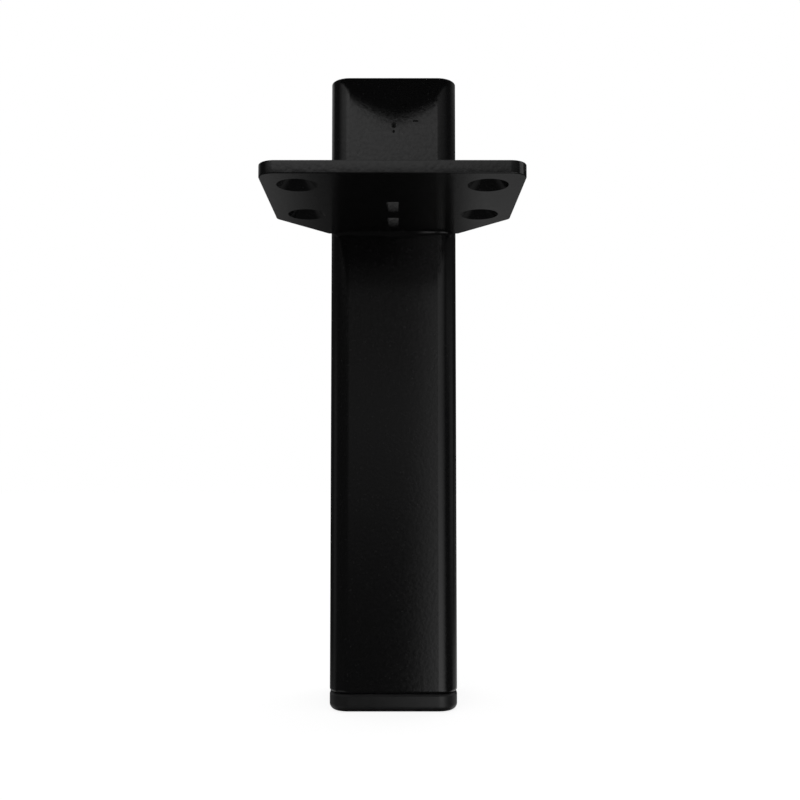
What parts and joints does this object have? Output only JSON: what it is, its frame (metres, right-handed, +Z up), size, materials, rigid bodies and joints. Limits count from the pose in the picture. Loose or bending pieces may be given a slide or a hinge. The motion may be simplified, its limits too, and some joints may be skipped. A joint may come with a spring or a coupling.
{
  "type": "furniture leg",
  "caption": "Rounded-square tubular furniture leg with a screw plate welded to its front face, an open stub above the plate and a plastic glide at the foot.",
  "frame": {"origin": "centre of the glide's sole, on the floor under the tube's axis", "axes": "+Z up along the tube, -Y forward from the tube to the free edge of the screw plate, X across the plate"},
  "size_m": [0.07, 0.098, 0.2],
  "materials": {
    "powder_coat": "satin black powder coat on steel",
    "foot_plastic": "moulded black plastic"
  },
  "bodies": {
    "root": {"leg_tube": "powder_coat", "mounting_plate": "powder_coat", "weld_bead": "powder_coat", "foot_cap": "foot_plastic"}
  },
  "joints": []
}
